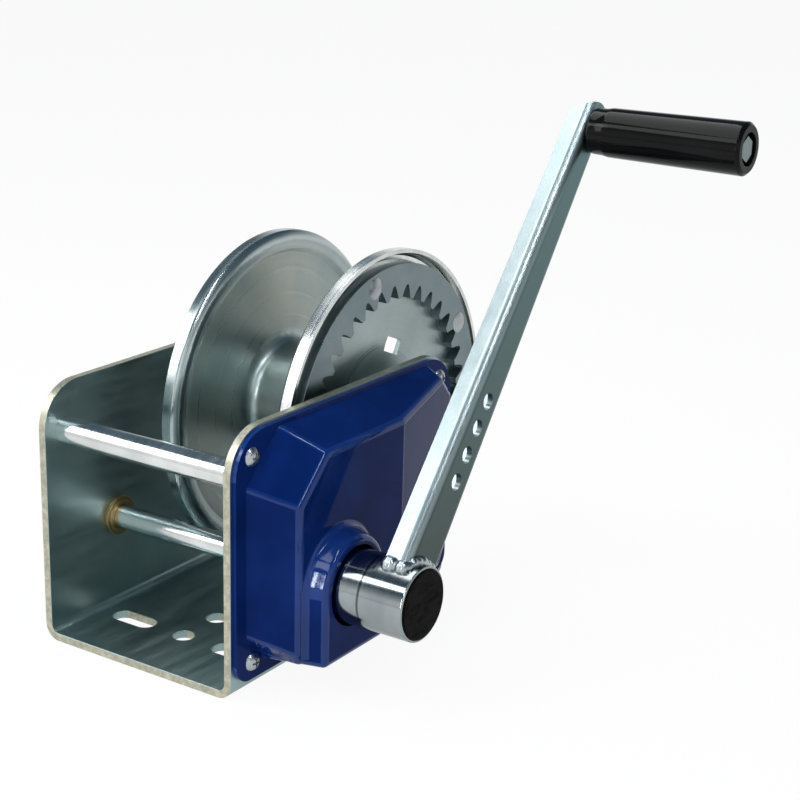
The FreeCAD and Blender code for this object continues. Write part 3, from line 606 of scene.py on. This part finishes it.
# each node named here gets a dressed copy: merged, smooth where it is round, its sharp edges broken by
# this width in millimetres; arm_weld gets the bead below, and the others stay as they are
edgeValues = {
    "frame": 0.5, "tie_rod": 0.3, "shaft_bush_far": 0.3, "shaft_bush_near": 0.3, "drum_flange_far": 0.3,
    "drum_flange_near": 0.3, "drum_barrel": 0.0, "ring_gear": 0.3, "ring_rivets": 0.2, "cover": 0.3,
    "crank_hub": 0.5, "hub_cap": 0.3, "crank_arm": 0.4, "grip": 0.4, "grip_pin": 0.3, "crank_shaft": 0.3,
    "axle_nut": 0.3, "axle_washer": 0.3, "cover_screw_1": 0.3, "cover_screw_2": 0.3,
    "cover_screw_3": 0.3, "cover_screw_4": 0.3, "drum_axle": 0.4, "drum_hub": 0.3, "counter_shaft": 0.3,
}
dressValues = {
    "mergeGap": 0.02 * mm,
    "flatAngle": math.radians(0.4),
    "sharpAngle": math.radians(32),
    "edgeSegments": 2,
    "flatWeight": 50,
}
# what counts as a rounded edge of the cover; these faces take a paler blue, a painted highlight, with
# stronger specular
roundingValues = {
    "widest": 2.5 * mm,
    "smallArea": 80 * mm * mm,
    "bendFrom": math.radians(2),
    "bendUntil": math.radians(30),
    "longSide": 1 / 3,
}
nodeBody = {node: body for body, nodes in frame["record"]["behaviour"]["bodies"].items() for node in nodes}


def standsFor(piece, node):
    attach(piece, nodeBody[node])
    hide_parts(node)


def isRounding(face, values):
    # a narrow or small face, bent a little against a neighbour on one of its long sides
    longest = max(edge.calc_length() for edge in face.edges)
    longSides = [edge for edge in face.edges if edge.calc_length() > longest * values["longSide"]]
    bends = [edge.calc_face_angle(0.0) for edge in longSides]
    area = face.calc_area()
    slim = area / longest < values["widest"] or area < values["smallArea"]
    return slim and any(values["bendFrom"] < bend < values["bendUntil"] for bend in bends)


def dressNode(node, edge, values):
    bm = bmesh.new()
    bm.from_mesh(frame["nodes"][node].data)
    bmesh.ops.remove_doubles(bm, verts=bm.verts, dist=values["mergeGap"])
    bmesh.ops.dissolve_limit(bm, angle_limit=values["flatAngle"], verts=bm.verts, edges=bm.edges)
    for face in bm.faces:
        face.smooth = True
        # the cover's rounded faces take the paler blue, a painted highlight
        if node in edgeSheenFinish and isRounding(face, roundingValues):
            face.material_index = 1
    mesh = bpy.data.meshes.new(node + "_dressed")
    bm.to_mesh(mesh)
    bm.free()
    mesh.set_sharp_from_angle(angle=values["sharpAngle"])
    piece = bpy.data.objects.new(node + "_dressed", mesh)
    bpy.context.scene.collection.objects.link(piece)
    mesh.materials.append(finishes[nodeFinish[node]])
    if node in edgeSheenFinish:
        mesh.materials.append(finishes[edgeSheenFinish[node]])
    if edge:
        rounding = piece.modifiers.new("edges", "BEVEL")
        rounding.width = edge * mm
        rounding.segments = values["edgeSegments"]
        rounding.limit_method = "ANGLE"
        rounding.angle_limit = values["sharpAngle"]
        rounding.harden_normals = True
        # the broken edges of the cover take the same paler blue, a painted highlight
        rounding.material = 1 if node in edgeSheenFinish else -1
    # flat faces stay flat, so that only the rounded edges catch the light
    shading = piece.modifiers.new("flats", "WEIGHTED_NORMAL")
    shading.weight = values["flatWeight"]
    shading.keep_sharp = True
    standsFor(piece, node)


# the weld: overlapping drops, grown together, four at each side wall and a run over the web; a side drop
# has its place along X from the weld's low end, and its radius
beadValues = {
    "wallHalfWidth": 18.4 * mm,
    "sideDrops": ((0.0040, 0.0052), (0.0062, 0.0050), (0.0125, 0.0046), (0.0145, 0.0044)),
    "sideFlat": 0.80,
    "sideRise": 0.6 * mm,
    "webDrops": 9,
    "webReach": math.radians(50.0),
    "webFlat": 0.9,
    "webRise": 0.4 * mm,
    "webBeyond": 1.2 * mm,
    "webRadii": (3.4 * mm, 3.7 * mm),
    "voxel": 0.5 * mm,
}


def addDrop(bm, place, radius, flat):
    size = Matrix.Diagonal((radius * flat, radius, radius, 1))
    bmesh.ops.create_icosphere(bm, subdivisions=3, radius=1.0, matrix=Matrix.Translation(place) @ size)


def onHub(x, turn, radius):
    return Vector((x, crankAxis.y + math.sin(turn) * radius, crankAxis.z + math.cos(turn) * radius))


def makeWeld(values):
    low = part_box("arm_weld")[0]
    hubLow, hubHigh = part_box("crank_hub")
    hubRadius = (hubHigh.z - hubLow.z) / 2
    away = gripAxis - crankAxis
    lean = math.atan2(away.y, away.z)
    side = math.asin(values["wallHalfWidth"] / hubRadius)
    bm = bmesh.new()
    for turn in (lean - side, lean + side):
        for start, radius in values["sideDrops"]:
            spot = onHub(low.x + start, turn, hubRadius + values["sideRise"])
            addDrop(bm, spot, radius, values["sideFlat"])
    for number in range(values["webDrops"]):
        share = number / (values["webDrops"] - 1) * 2 - 1
        spot = onHub(armHigh.x + values["webBeyond"], lean + values["webReach"] * share,
                     hubRadius + values["webRise"])
        addDrop(bm, spot, values["webRadii"][number % 2], values["webFlat"])
    for face in bm.faces:
        face.smooth = True
    mesh = bpy.data.meshes.new("weldBead")
    bm.to_mesh(mesh)
    bm.free()
    mesh.materials.append(finishes["weldZinc"])
    bead = bpy.data.objects.new("weldBead", mesh)
    bpy.context.scene.collection.objects.link(bead)
    grown = bead.modifiers.new("grown", "REMESH")
    grown.mode = "VOXEL"
    grown.voxel_size = values["voxel"]
    grown.use_smooth_shade = True
    standsFor(bead, "arm_weld")


for node, finish in nodeFinish.items():
    frame["nodes"][node].data.materials.clear()
    frame["nodes"][node].data.materials.append(finishes[finish])
for node, edge in edgeValues.items():
    dressNode(node, edge, dressValues)
print("nodes dressed")
makeWeld(beadValues)
print("weld laid")
